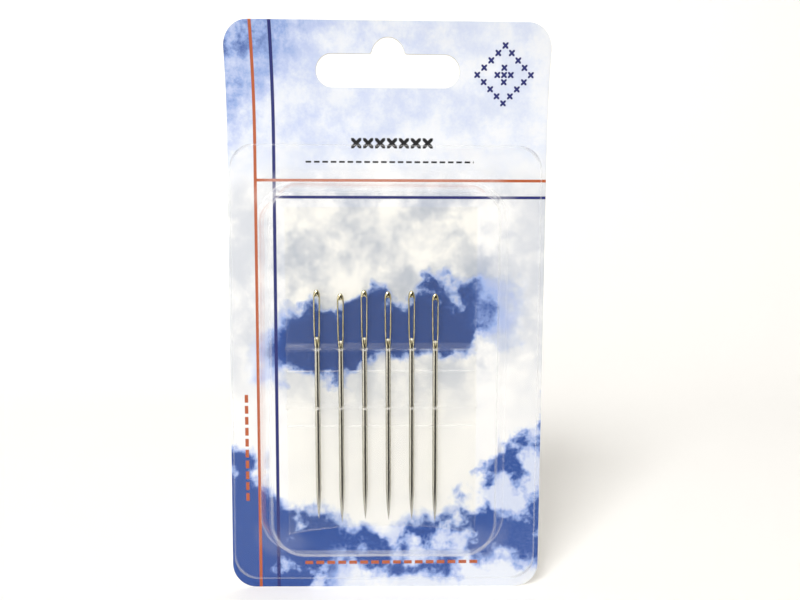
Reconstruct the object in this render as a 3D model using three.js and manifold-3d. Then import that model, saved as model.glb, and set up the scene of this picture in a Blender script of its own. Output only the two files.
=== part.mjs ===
// A hang card with a clear blister, holding six hand-sewing needles in a pleated film carrier.
// Millimetres, +Z up, the printed front faces -Y. The pack is laid out from the needles outwards:
// X from the middle of the needle row, Y from the back of the card, Z from the first needle's point.
// At the end the whole group is moved, so that its origin is where a peg bears in the hang slot.

import * as THREE from 'three';
import { mergeVertices } from 'three/addons/utils/BufferGeometryUtils.js';
import Module from 'manifold-3d';

const wasm = await Module();
wasm.setup();

// Needles: six alike, each pushed into the film by hand, so each sits a little lower or higher.
const needleLength = 53.8;
const needleDiameter = 1.28;
const needlePitch = 5.42;
const needleDrops = [0, 0.88, 0.14, 0.43, 0.35, 0.96];
const pointLength = 8.7;
const pointPower = 1.18; // above 1, the point is rounder at its end than a sine curve
const pointFlat = 0.05; // radius left at the very point
const headWidth = 1.66;
const headThickness = 1.1;
const headFlare = 3.2; // length over which the round shaft spreads into the flat head
const crownHeight = 1.7; // rounded end of the head
const crownFlat = 0.25; // share of the head's width left at its very end
const eyeLength = 9.4;
const eyeWidth = 0.9;
const eyeFootWidth = 0.62; // the eye narrows towards the point
const eyeToCrown = 1.5; // metal left between the eye and the head's end
const gutterLength = 3; // groove that runs from the eye's foot down the shaft, on both faces
const gutterWidth = 0.44;
const gutterDepth = 0.2;

// Film carrier: one clear sheet with two pleats, which the needles are threaded through.
const filmThickness = 0.2;
const filmBelowPoint = 4.2;
const filmAboveHead = 18.7;
const filmMarginLeft = 7.2;
const filmMarginRight = 9.65;
const filmArch = 2; // rise of the bottom edge between its two corners
const filmToCard = 0.3;
const filmLean = 0.42; // degrees, the points lean towards +X
const pleatHeight = 2.6;
const pleatBase = 1.9;
const pleatFold = 0.25; // bend radius of the pleat's folds
const pleatBelowEye = 2.5;
const pleatSpacing = 13.6;
const holeClearance = 0.25;
const needleToFilm = 0.31;

// Blister: thermoformed clear sheet, a flange sealed to the card round a shallow bubble. The room is
// what the film has between its edges and the bubble's foot, the seal is the flange outside that.
const blisterThickness = 0.3;
const bubbleDepth = 9.8; // card front to the bubble's front face
const draftLeft = 3.78; // how far each wall leans in over that depth
const draftRight = 2.94;
const draftBelow = 2.9;
const draftAbove = 2.66;
const bubbleCorner = 8.5; // at the foot
const lowCornerFront = 7.5; // the lower corners stay wide up to the front
const bubbleFootBend = 0.8;
const bubbleFrontBend = 1.6;
const roomLeft = 6;
const roomRight = 6.4;
const roomBelow = 3.95;
const roomAbove = 5.25;
const sealLeft = 6.65;
const sealRight = 7.95;
const sealBelow = 7;
const sealAbove = 8.75;
const flangeCorner = 5.5;

// Card: it shows a little round the flange, and its header above the flange curls to the front.
const cardThickness = 0.5;
const rimLeft = 0.5;
const rimRight = 1;
const rimBelow = 2.1;
const headerHeight = 26;
const cardCorner = 5.6;
const headerBendRadius = 80;
const headerBendGap = 0.5; // flat card left above the flange

// Hang slot: a wide slot with a raised middle, where a peg centres itself.
const slotWidth = 32;
const slotHeight = 7;
const slotToTop = 3.2; // card left above the raised middle
const slotRise = 3.35;
const slotRiseRadius = 3.7;
const slotRiseFillet = 0.7;

// Mesh fineness
const needleSides = 12;
const holeSides = 12;
const cornerSteps = 6;
const bendSteps = 4;
const headerSteps = 10;
const overlap = 1; // how far a cutting solid runs past what it cuts

const cardMaterial = new THREE.MeshStandardMaterial({ color: 0xdfe3ee, roughness: 0.35, metalness: 0 });
const filmMaterial = new THREE.MeshStandardMaterial({
  color: 0xf4f7fa, roughness: 0.1, metalness: 0, transparent: true, opacity: 0.2,
});
const blisterMaterial = new THREE.MeshStandardMaterial({
  color: 0xf2f6fb, roughness: 0.06, metalness: 0, transparent: true, opacity: 0.22,
});
const needleMaterial = new THREE.MeshStandardMaterial({ color: 0xb3ad92, roughness: 0.25, metalness: 1 });

// Solids for cutting and joining

function solidOf(geometry) {
  const bare = geometry.clone();
  bare.deleteAttribute('normal');
  bare.deleteAttribute('uv');
  const merged = mergeVertices(bare);
  return new wasm.Manifold(new wasm.Mesh({
    numProp: 3,
    vertProperties: new Float32Array(merged.attributes.position.array),
    triVerts: new Uint32Array(merged.index.array),
  }));
}

function geometryOf(solid) {
  const mesh = solid.getMesh();
  const geometry = new THREE.BufferGeometry();
  geometry.setAttribute('position', new THREE.BufferAttribute(mesh.vertProperties, mesh.numProp));
  geometry.setIndex(new THREE.BufferAttribute(mesh.triVerts, 1));
  geometry.computeVertexNormals();
  return geometry;
}

// A front-view outline (X, Z) as a prism that runs forwards, along -Y, from one depth to another.
function prismAlongY(shape, backY, frontY) {
  const depth = backY - frontY;
  const options = { depth, bevelEnabled: false, curveSegments: cornerSteps };
  const geometry = new THREE.ExtrudeGeometry(shape, options);
  const turn = new THREE.Matrix4().makeBasis(
    new THREE.Vector3(1, 0, 0), new THREE.Vector3(0, 0, 1), new THREE.Vector3(0, -1, 0),
  );
  return geometry.applyMatrix4(turn).translate(0, backY, 0);
}

// A side-view outline (Y, Z) as a prism along X.
function prismAlongX(shape, leftX, rightX) {
  const depth = rightX - leftX;
  const geometry = new THREE.ExtrudeGeometry(shape, { depth, bevelEnabled: false });
  const turn = new THREE.Matrix4().makeBasis(
    new THREE.Vector3(0, 1, 0), new THREE.Vector3(0, 0, 1), new THREE.Vector3(1, 0, 0),
  );
  return geometry.applyMatrix4(turn).translate(leftX, 0, 0);
}

// A closed skin over a run of rings with equal point counts. Each ring turns counter-clockwise
// about the direction in which the last one faces.
function loft(rings) {
  const count = rings[0].length;
  const last = rings.length - 1;
  const index = [];
  for (let ring = 0; ring < last; ring += 1) {
    for (let i = 0; i < count; i += 1) {
      const next = (i + 1) % count;
      const a = ring * count + i;
      const b = ring * count + next;
      const c = b + count;
      const d = a + count;
      index.push(a, b, c, a, c, d);
    }
  }
  for (let i = 1; i < count - 1; i += 1) {
    const end = last * count;
    index.push(0, i + 1, i, end, end + i, end + i + 1);
  }
  const geometry = new THREE.BufferGeometry().setFromPoints(rings.flat());
  geometry.setIndex(index);
  geometry.computeVertexNormals();
  return geometry;
}

// Paths and outlines

// An open path with its inner corners bent to a radius.
function bentPath(corners, radii) {
  const path = [corners[0]];
  for (let i = 1; i < corners.length - 1; i += 1) {
    const back = corners[i - 1].clone().sub(corners[i]).normalize();
    const ahead = corners[i + 1].clone().sub(corners[i]).normalize();
    const half = Math.acos(THREE.MathUtils.clamp(back.dot(ahead), -1, 1)) / 2;
    const inward = back.clone().add(ahead).normalize();
    const centre = corners[i].clone().addScaledVector(inward, radii[i - 1] / Math.sin(half));
    const spread = Math.PI / 2 - half;
    const side = Math.sign(back.cross(ahead));
    for (let step = 0; step <= bendSteps; step += 1) {
      const angle = side * spread * (1 - 2 * step / bendSteps);
      const spoke = inward.clone().negate().rotateAround(new THREE.Vector2(), angle);
      path.push(centre.clone().addScaledVector(spoke, radii[i - 1]));
    }
  }
  path.push(corners[corners.length - 1]);
  return path;
}

// The same open path moved sideways to its left, with mitred corners.
function offsetPath(path, distance) {
  return path.map((point, i) => {
    const before = path[Math.max(i - 1, 0)];
    const after = path[Math.min(i + 1, path.length - 1)];
    const into = (i > 0 ? point.clone().sub(before) : after.clone().sub(point)).normalize();
    const out = (i < path.length - 1 ? after.clone().sub(point) : point.clone().sub(before)).normalize();
    const left = new THREE.Vector2(-into.y - out.y, into.x + out.x).normalize();
    const stretch = left.dot(new THREE.Vector2(-into.y, into.x));
    return point.clone().addScaledVector(left, distance / stretch);
  });
}

// The side-view outline of a sheet whose middle follows a path.
function sheetShape(path, thickness) {
  const left = offsetPath(path, thickness / 2);
  const right = offsetPath(path, -thickness / 2);
  return new THREE.Shape([...right, ...left.reverse()]);
}

function roundedBox({ left, right, bottom, top }, radius) {
  const shape = new THREE.Shape();
  shape.absarc(right - radius, bottom + radius, radius, -Math.PI / 2, 0);
  shape.absarc(right - radius, top - radius, radius, 0, Math.PI / 2);
  shape.absarc(left + radius, top - radius, radius, Math.PI / 2, Math.PI);
  shape.absarc(left + radius, bottom + radius, radius, Math.PI, Math.PI * 1.5);
  shape.closePath();
  return shape;
}

// The same outline as a ring of points at one depth, its sides moved in by an inset. The lower
// corners may have a radius of their own.
function roundedRing({ left, right, bottom, top }, radius, inset, y, lowRadius = radius) {
  const up = Math.max(radius - inset, blisterThickness);
  const low = Math.max(lowRadius - inset, blisterThickness);
  const radii = [low, up, up, low];
  const x = [right - inset - low, right - inset - up, left + inset + up, left + inset + low];
  const z = [bottom + inset + low, top - inset - up, top - inset - up, bottom + inset + low];
  const ring = [];
  for (let corner = 0; corner < 4; corner += 1) {
    for (let step = 0; step <= cornerSteps; step += 1) {
      const angle = (corner - 1 + step / cornerSteps) * Math.PI / 2;
      const r = radii[corner];
      ring.push(new THREE.Vector3(x[corner] + r * Math.cos(angle), y, z[corner] + r * Math.sin(angle)));
    }
  }
  return ring;
}

// Layout, from the needle row out to the card

const rowHalf = needlePitch * (needleDrops.length - 1) / 2;
const needlePlaces = needleDrops.map((_, i) => needlePitch * i - rowHalf);

const film = {
  left: -rowHalf - filmMarginLeft,
  right: rowHalf + filmMarginRight,
  bottom: -filmBelowPoint,
  top: needleLength + filmAboveHead,
};
const bubble = {
  left: film.left - roomLeft,
  right: film.right + roomRight,
  bottom: film.bottom - roomBelow,
  top: film.top + roomAbove,
};
const flange = {
  left: bubble.left - sealLeft,
  right: bubble.right + sealRight,
  bottom: bubble.bottom - sealBelow,
  top: bubble.top + sealAbove,
};
const card = {
  left: flange.left - rimLeft,
  right: flange.right + rimRight,
  bottom: flange.bottom - rimBelow,
  top: flange.top + headerHeight,
};

const cardFront = -cardThickness;
const filmMiddle = cardFront - filmToCard - filmThickness / 2;
const needleAxis = filmMiddle - filmThickness / 2 - needleToFilm - needleDiameter / 2;
const eyeTop = needleLength - eyeToCrown;
const eyeFoot = eyeTop - eyeLength;
const slotTop = card.top - slotToTop;
const slotShoulder = slotTop - slotRise;
const cardMiddleX = (card.left + card.right) / 2;

// How far the card has curled forwards at a height.
const bendStart = flange.top + headerBendGap;
function headerCurl(z) {
  const rise = Math.max(z - bendStart, 0);
  return headerBendRadius - Math.sqrt(headerBendRadius ** 2 - rise ** 2);
}

// Card

function hangSlot() {
  const end = slotHeight / 2;
  const left = cardMiddleX - slotWidth / 2 + end;
  const right = cardMiddleX + slotWidth / 2 - end;
  const endZ = slotShoulder - end;
  // The raised middle is an arc about riseZ, led into the slot's upper edge by two fillets.
  const riseZ = slotTop - slotRiseRadius;
  const filletZ = slotShoulder + slotRiseFillet;
  const reach = slotRiseRadius + slotRiseFillet;
  const filletX = Math.sqrt(reach ** 2 - (filletZ - riseZ) ** 2);
  const lean = Math.atan2(filletZ - riseZ, filletX);
  const slot = new THREE.Path();
  slot.absarc(right, endZ, end, -Math.PI / 2, Math.PI / 2);
  slot.absarc(cardMiddleX + filletX, filletZ, slotRiseFillet, -Math.PI / 2, -Math.PI + lean, true);
  slot.absarc(cardMiddleX, riseZ, slotRiseRadius, lean, Math.PI - lean);
  slot.absarc(cardMiddleX - filletX, filletZ, slotRiseFillet, -lean, -Math.PI / 2, true);
  slot.absarc(left, endZ, end, Math.PI / 2, Math.PI * 1.5);
  slot.closePath();
  return slot;
}

function cardGeometry() {
  const middle = cardFront / 2;
  const path = [new THREE.Vector2(middle, card.bottom - overlap), new THREE.Vector2(middle, bendStart)];
  for (let step = 1; step <= headerSteps; step += 1) {
    const z = bendStart + (card.top + overlap - bendStart) * step / headerSteps;
    path.push(new THREE.Vector2(middle - headerCurl(z), z));
  }
  const sheet = prismAlongX(sheetShape(path, cardThickness), card.left - overlap, card.right + overlap);
  const outline = roundedBox(card, cardCorner);
  outline.holes.push(hangSlot());
  const front = cardFront - headerCurl(card.top + overlap) - overlap;
  return geometryOf(solidOf(sheet).intersect(solidOf(prismAlongY(outline, overlap, front))));
}

// Blister: the sheet's back follows one path from flange to front face, and its front lies one
// sheet thickness outside that path. A path's X is the inset and its Y the height off the card. The
// path leans by the mean draft, and each wall takes its own share of the inset.

function blisterGeometry() {
  const bubbleDraft = (draftLeft + draftRight + draftBelow + draftAbove) / 4;
  const innerDepth = bubbleDepth - blisterThickness;
  const footBend = bubbleFootBend + blisterThickness;
  const corners = [
    new THREE.Vector2(-footBend * 2, 0),
    new THREE.Vector2(0, 0),
    new THREE.Vector2(bubbleDraft, innerDepth),
    new THREE.Vector2(bubbleDraft + bubbleFrontBend * 2, innerDepth),
  ];
  const inner = bentPath(corners, [footBend, bubbleFrontBend]);
  const outer = offsetPath(inner, blisterThickness);
  const ringOf = (point) => {
    const share = Math.max(point.x, 0) / bubbleDraft;
    const leaned = {
      left: bubble.left + (draftLeft - bubbleDraft) * share,
      right: bubble.right - (draftRight - bubbleDraft) * share,
      bottom: bubble.bottom + (draftBelow - bubbleDraft) * share,
      top: bubble.top - (draftAbove - bubbleDraft) * share,
    };
    const lowRadius = bubbleCorner + (lowCornerFront + bubbleDraft - bubbleCorner) * share;
    return roundedRing(leaned, bubbleCorner, point.x, cardFront - point.y, lowRadius);
  };
  return loft([
    ...inner.reverse().map(ringOf),
    roundedRing(flange, flangeCorner, 0, cardFront),
    roundedRing(flange, flangeCorner, 0, cardFront - blisterThickness),
    ...outer.map(ringOf),
  ]);
}

// Film carrier

function pleatCorners(z) {
  return [
    new THREE.Vector2(filmMiddle, z - pleatBase / 2),
    new THREE.Vector2(filmMiddle - pleatHeight, z),
    new THREE.Vector2(filmMiddle, z + pleatBase / 2),
  ];
}

function filmOutline() {
  const shape = new THREE.Shape();
  shape.moveTo(film.right, film.bottom);
  shape.lineTo(film.right, film.top);
  shape.lineTo(film.left, film.top);
  shape.lineTo(film.left, film.bottom);
  shape.quadraticCurveTo((film.left + film.right) / 2, film.bottom + 2 * filmArch, film.right, film.bottom);
  return shape;
}

function filmGeometry() {
  const upperPleat = eyeFoot - pleatBelowEye;
  const corners = [
    new THREE.Vector2(filmMiddle, film.bottom - overlap),
    ...pleatCorners(upperPleat - pleatSpacing),
    ...pleatCorners(upperPleat),
    new THREE.Vector2(filmMiddle, film.top + overlap),
  ];
  const path = bentPath(corners, Array(corners.length - 2).fill(pleatFold));
  const sheet = prismAlongX(sheetShape(path, filmThickness), film.left - overlap, film.right + overlap);
  const outline = prismAlongY(filmOutline(), cardFront, filmMiddle - pleatHeight - overlap);
  let solid = solidOf(sheet).intersect(solidOf(outline));
  const radius = needleDiameter / 2 + holeClearance;
  const hole = new THREE.CylinderGeometry(radius, radius, needleLength, holeSides).rotateX(Math.PI / 2);
  for (const x of needlePlaces) {
    solid = solid.subtract(solidOf(hole.clone().translate(x, needleAxis, needleLength / 2)));
  }
  return geometryOf(solid);
}

// Needle, with its point at the origin and its axis along +Z

function headShare(z) {
  return THREE.MathUtils.smoothstep(z, eyeFoot - headFlare, eyeFoot + headFlare);
}

function needleRing(z, trim) {
  const share = headShare(z);
  const halfWidth = THREE.MathUtils.lerp(needleDiameter, headWidth, share) / 2 * trim;
  const halfThickness = THREE.MathUtils.lerp(needleDiameter, headThickness, share) / 2 * trim;
  return Array.from({ length: needleSides }, (_, i) => {
    const angle = i / needleSides * Math.PI * 2;
    return new THREE.Vector3(halfWidth * Math.cos(angle), halfThickness * Math.sin(angle), z);
  });
}

function slimSlot(top, bottom, topWidth, bottomWidth) {
  const shape = new THREE.Shape();
  shape.absarc(0, bottom + bottomWidth / 2, bottomWidth / 2, Math.PI, Math.PI * 2);
  shape.absarc(0, top - topWidth / 2, topWidth / 2, 0, Math.PI);
  shape.closePath();
  return shape;
}

function needleGeometry() {
  const rings = [needleRing(0, 2 * pointFlat / needleDiameter)];
  for (let step = 1; step <= bendSteps; step += 1) {
    const share = step / bendSteps;
    rings.push(needleRing(pointLength * share ** pointPower, Math.sin(share * Math.PI / 2)));
  }
  for (let step = 0; step <= bendSteps; step += 1) {
    rings.push(needleRing(eyeFoot + headFlare * (2 * step / bendSteps - 1), 1));
  }
  for (let step = 0; step <= bendSteps; step += 1) {
    const angle = step / bendSteps * Math.PI / 2;
    const z = needleLength - crownHeight * (1 - Math.sin(angle));
    rings.push(needleRing(z, Math.max(Math.cos(angle), crownFlat)));
  }
  const through = needleDiameter + headThickness;
  const floor = needleDiameter / 2 - gutterDepth;
  const eye = slimSlot(eyeTop, eyeFoot, eyeWidth, eyeFootWidth);
  const gutter = slimSlot(eyeFoot + eyeFootWidth, eyeFoot - gutterLength, gutterWidth, gutterWidth);
  const solid = solidOf(loft(rings))
    .subtract(solidOf(prismAlongY(eye, through, -through)))
    .subtract(solidOf(prismAlongY(gutter, through, floor)))
    .subtract(solidOf(prismAlongY(gutter, -floor, -through)));
  return geometryOf(solid);
}

// Assembly

function namedMesh(name, geometry, material) {
  const mesh = new THREE.Mesh(geometry, material);
  mesh.name = name;
  return mesh;
}

const pack = new THREE.Group();
pack.add(namedMesh('card', cardGeometry(), cardMaterial));
pack.add(namedMesh('blister', blisterGeometry(), blisterMaterial));

// The carrier and its needles lean together about the middle of the row.
const lean = new THREE.Group();
lean.position.z = needleLength / 2;
lean.rotation.y = -THREE.MathUtils.degToRad(filmLean);
pack.add(lean);

const carrier = new THREE.Group();
carrier.position.z = -needleLength / 2;
lean.add(carrier);
carrier.add(namedMesh('needle_carrier', filmGeometry(), filmMaterial));

const needleShape = needleGeometry();
needleDrops.forEach((drop, i) => {
  const needle = namedMesh(`needle_${i + 1}`, needleShape, needleMaterial);
  needle.position.set(needlePlaces[i], needleAxis, -drop);
  carrier.add(needle);
});

pack.position.set(-cardMiddleX, cardThickness / 2 + headerCurl(slotTop), -slotTop);

export default pack;
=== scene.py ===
import bpy
import numpy as np
from mathutils import Matrix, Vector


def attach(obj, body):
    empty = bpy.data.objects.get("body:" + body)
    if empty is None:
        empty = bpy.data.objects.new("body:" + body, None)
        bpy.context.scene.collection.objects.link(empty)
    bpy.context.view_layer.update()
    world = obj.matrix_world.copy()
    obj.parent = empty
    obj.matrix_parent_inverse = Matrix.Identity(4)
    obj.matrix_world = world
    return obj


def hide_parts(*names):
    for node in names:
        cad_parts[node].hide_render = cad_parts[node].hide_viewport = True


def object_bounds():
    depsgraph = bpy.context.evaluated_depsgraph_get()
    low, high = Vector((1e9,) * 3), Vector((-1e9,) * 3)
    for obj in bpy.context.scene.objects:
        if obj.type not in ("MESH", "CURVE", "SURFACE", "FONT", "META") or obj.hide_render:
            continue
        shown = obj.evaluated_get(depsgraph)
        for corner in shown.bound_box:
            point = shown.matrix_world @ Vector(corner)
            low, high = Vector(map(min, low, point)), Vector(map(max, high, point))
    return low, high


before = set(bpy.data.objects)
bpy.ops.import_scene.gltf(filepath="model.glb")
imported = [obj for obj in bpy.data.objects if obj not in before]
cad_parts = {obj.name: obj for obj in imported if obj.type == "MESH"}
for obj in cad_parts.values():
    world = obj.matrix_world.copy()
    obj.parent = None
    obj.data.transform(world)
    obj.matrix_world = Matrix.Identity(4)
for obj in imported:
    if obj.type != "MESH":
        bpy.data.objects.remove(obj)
cadLow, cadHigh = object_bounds()
mm = 0.001
print("frame:", ", ".join(sorted(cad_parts)))


# Mesh tools

def gridQuads(index):
    # one quad for each cell of a grid of point numbers
    return np.stack([index[:-1, :-1], index[:-1, 1:], index[1:, 1:], index[1:, :-1]], -1).reshape(-1, 4)


def ringIndex(rows, around):
    # point numbers of rows of closed rings, with the first column repeated at the end
    index = np.arange(rows * around).reshape(rows, around)
    return np.concatenate([index, index[:, :1]], 1)


def skinMesh(name, points, quads, slots=None, attributes=None, closed=True):
    # points in mm; a quad with two equal corners becomes a triangle, unused points go,
    # and a closed skin is turned so that its volume is positive
    points = np.asarray(points, float).reshape(-1, 3)
    slots = np.zeros(len(quads), int) if slots is None else slots
    same = quads == np.roll(quads, -1, axis=1)
    keep = np.array([[1, 2, 3], [0, 1, 3], [0, 1, 2], [0, 1, 2]])
    welded = np.nonzero(same.sum(1) == 1)[0]
    tris = np.take_along_axis(quads[welded], keep[same[welded].argmax(1)], 1)
    whole = ~same.any(1)
    slots = np.concatenate([slots[whole], slots[welded]])
    quads = quads[whole]
    used, flat = np.unique(np.concatenate([quads.ravel(), tris.ravel()]), return_inverse=True)
    points = points[used]
    quads, tris = flat[:quads.size].reshape(-1, 4), flat[quads.size:].reshape(-1, 3)
    if closed:
        fans = points[np.concatenate([tris, quads[:, :3], quads[:, [0, 2, 3]]])]
        if np.einsum("ij,ij->", fans[:, 0], np.cross(fans[:, 1], fans[:, 2])) < 0:
            quads, tris = quads[:, ::-1], tris[:, ::-1]
    mesh = bpy.data.meshes.new(name)
    mesh.from_pydata((points * mm).tolist(), [], quads.tolist() + tris.tolist())
    mesh.polygons.foreach_set("material_index", slots.astype(np.int32))
    mesh.polygons.foreach_set("use_smooth", np.ones(len(slots), bool))
    for label, values in (attributes or {}).items():
        layer = mesh.attributes.new(label, "FLOAT", "POINT")
        layer.data.foreach_set("value", np.asarray(values, np.float32).ravel()[used])
    mesh.update()
    return mesh


def addPiece(name, mesh, body, node, slotName, *materials):
    piece = bpy.data.objects.new(name, mesh)
    bpy.context.scene.collection.objects.link(piece)
    for material in materials:
        mesh.materials.append(material)
    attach(piece, body)
    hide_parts(node)
    return piece


def unit(way):
    return way / np.linalg.norm(way)


def turnedTo(right, up, back, place):
    # matrix of a camera or lamp at a place in mm, from its three directions
    turned = np.eye(4)
    turned[:3, :3] = np.stack([right, up, back], 1)
    turned[:3, 3] = np.array(place) * mm
    return Matrix(turned.tolist())


arcSteps, sideSteps = 20, 24  # steps along each quarter arc and each straight run of a ring


def roundedRings(left, right, bottom, top, corner, low=None, arc=arcSteps, run=sideSteps):
    # rounded rectangles in x and z, one row each: four quarter arcs with straight runs between them;
    # low is the radius of the bottom corners where they differ
    sizes = left, right, bottom, top, corner, corner if low is None else low
    left, right, bottom, top, corner, low = np.broadcast_arrays(*map(np.atleast_1d, sizes))
    quarter = np.linspace(0, np.pi / 2, arc + 1)
    centres = ((right - corner, top - corner, corner), (left + corner, top - corner, corner),
               (left + low, bottom + low, low), (right - low, bottom + low, low))
    arcs = []
    for turn, (x, z, radius) in enumerate(centres):
        angle = quarter + turn * np.pi / 2
        arcs.append(np.stack([x[:, None] + radius[:, None] * np.cos(angle),
                              z[:, None] + radius[:, None] * np.sin(angle)], -1))
    share = (np.arange(1, run) / run)[None, :, None]
    runs = [a[:, -1:] + (b[:, :1] - a[:, -1:]) * share for a, b in zip(arcs, arcs[1:] + arcs[:1])]
    return np.concatenate([part for pair in zip(arcs, runs) for part in pair], 1)


def roundness(around):
    # 1 along the quarter arcs of a ring from roundedRings, 0 along its straight runs, with soft ends
    side = np.concatenate([np.sin(np.linspace(0, np.pi, arcSteps + 1)), np.zeros(sideSteps - 1)])
    return np.tile(side, around // len(side))


def filletPath(corners, radii, steps=8):
    # a polyline whose inner corners are arcs: tangent points lie r*tan(turn/2) from each corner
    corners = np.asarray(corners, float)
    parts = [corners[:1]]
    for before, here, after, radius in zip(corners, corners[1:], corners[2:], radii):
        back, ahead = unit(before - here), unit(after - here)
        half = np.arccos(np.clip(back @ ahead, -1, 1)) / 2
        middle = unit(back + ahead)
        centre = here + middle * radius / np.sin(half)
        reach = np.linspace(-1, 1, steps + 1)[:, None] * (np.pi / 2 - half)
        side = unit(ahead - middle * (ahead @ middle))
        parts.append(centre + radius * (np.sin(reach) * side - np.cos(reach) * middle))
    return np.concatenate(parts + [corners[-1:]])


def spread(path, lengths):
    # points along a polyline at the given lengths from its start
    steps = np.concatenate([[0], np.cumsum(np.linalg.norm(np.diff(path, axis=0), axis=1))])
    return np.stack([np.interp(lengths, steps, path[:, k]) for k in range(path.shape[1])], -1)


def pathLength(path):
    return np.linalg.norm(np.diff(path, axis=0), axis=1).sum()


def bunched(places, weight, count):
    # a given count of the places, closer together where the weight is high
    stretch = np.concatenate([[0], np.cumsum((weight[1:] + weight[:-1]) / 2)])
    return np.interp(np.linspace(0, stretch[-1], count), stretch, places)


def smoothStep(value, low, high):
    t = np.clip((value - low) / (high - low), 0, 1)
    return t * t * (3 - 2 * t)


def bell(value, middle, width):
    # 1 at the middle, e^-1 one width away from it
    return np.exp(-((value - middle) / width) ** 2)


# Node tools

def newMaterial(name):
    material = bpy.data.materials.new(name)
    material.use_nodes = True
    material.node_tree.nodes.clear()
    return material, material.node_tree


def feed(tree, socket, value):
    if isinstance(value, bpy.types.NodeSocket):
        tree.links.new(value, socket)
    else:
        socket.default_value = value


def put(tree, kind, values=None, **settings):
    node = tree.nodes.new("ShaderNode" + kind)
    for key, value in settings.items():
        setattr(node, key, value)
    for key, value in (values or {}).items():
        feed(tree, node.inputs[key], value)
    return node


def surface(tree, shader):
    tree.links.new(shader.outputs[0], put(tree, "OutputMaterial").inputs[0])


def calc(tree, operation, *values, clamp=False):
    return put(tree, "Math", dict(enumerate(values)), operation=operation, use_clamp=clamp).outputs[0]


def times(tree, first, second):
    return calc(tree, "MULTIPLY", first, second)


def plus(tree, first, second):
    return calc(tree, "ADD", first, second)


def minus(tree, first, second):
    return calc(tree, "SUBTRACT", first, second)


def absolute(tree, value):
    return calc(tree, "ABSOLUTE", value)


def vector(tree, operation, first, second):
    # vector arithmetic; SCALE takes one number as its second value
    place = "Scale" if operation == "SCALE" else 1
    return put(tree, "VectorMath", {0: first, place: second}, operation=operation).outputs[0]


def ease(tree, value, low, high, start=0.0, end=1.0):
    # smooth step from start to end as the value goes from low to high
    return put(tree, "MapRange", {0: value, 1: low, 2: high, 3: start, 4: end},
               interpolation_type="SMOOTHSTEP").outputs[0]


def tint(tree, share, below, above, mode="MIX"):
    node = put(tree, "Mix", data_type="RGBA", blend_type=mode)
    for place, value in ((0, share), (6, below), (7, above)):
        feed(tree, node.inputs[place], value)
    return node.outputs[2]


def ramp(tree, value, stops):
    node = put(tree, "ValToRGB", {0: value})
    bar = node.color_ramp
    while len(bar.elements) < len(stops):
        bar.elements.new(0.5)
    for element, (place, colour) in zip(bar.elements, stops):
        element.position, element.color = place, (*colour, 1)
    return node.outputs[0]


def noise(tree, place, blot, detail=4.0, rough=0.55, output=0, offset=None):
    # fractal noise whose largest blots are about blot mm across
    if offset is not None:
        place = vector(tree, "ADD", place, offset)
    values = {"Vector": place, "Scale": 1 / blot, "Detail": detail, "Roughness": rough}
    return put(tree, "TexNoise", values).outputs[output]


def attribute(tree, name):
    return put(tree, "Attribute", attribute_name=name).outputs["Fac"]


def millimetres(tree):
    return vector(tree, "SCALE", put(tree, "TexCoord").outputs["Object"], 1 / mm)


def axes(tree, place):
    return put(tree, "SeparateXYZ", {0: place}).outputs


# Setting: camera as in the photograph, a paper sweep, soft lamps

camera = {"place": (0.39, -146.6, -46.7), "tilt": 4.33, "turn": 1.0, "roll": 0.32,
          "lens": 29.25, "sensor": 36.0, "clip": (0.01, 20)}


def makeCamera(data):
    tilt, turn, roll = np.radians([data["tilt"], data["turn"], data["roll"]])
    ahead = np.array([np.sin(turn) * np.cos(tilt), np.cos(turn) * np.cos(tilt), -np.sin(tilt)])
    right = unit(np.cross(ahead, [0, 0, 1]))
    up = np.cross(right, ahead)
    rightRolled = np.cos(roll) * right + np.sin(roll) * up
    upRolled = np.cos(roll) * up - np.sin(roll) * right
    lens = bpy.data.cameras.new("packCamera")
    lens.lens, lens.sensor_width = data["lens"], data["sensor"]
    lens.clip_start, lens.clip_end = data["clip"]
    eye = bpy.data.objects.new("packCamera", lens)
    eye.matrix_world = turnedTo(rightRolled, upRolled, -ahead, data["place"])
    bpy.context.scene.collection.objects.link(eye)
    bpy.context.scene.camera = eye


sweep = {
    "floor": cadLow.z / mm, "front": -900, "bend": 420, "radius": 240, "height": 900, "half": 1400,
    "white": (0.93, 0.93, 0.93, 1), "glow": (1, 0.95, 0.87, 1), "lift": 0.20,
    # a dark wedge before the pack, for reflections: how it sets in along y, and its sides
    "dark": (0.02, 0.02, 0.02, 1), "darkens": (-12, -50, 0, 0.96),
    "turn": 0.36, "spread": 0.78, "softSide": (0, 18, 1, 0),
}


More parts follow.
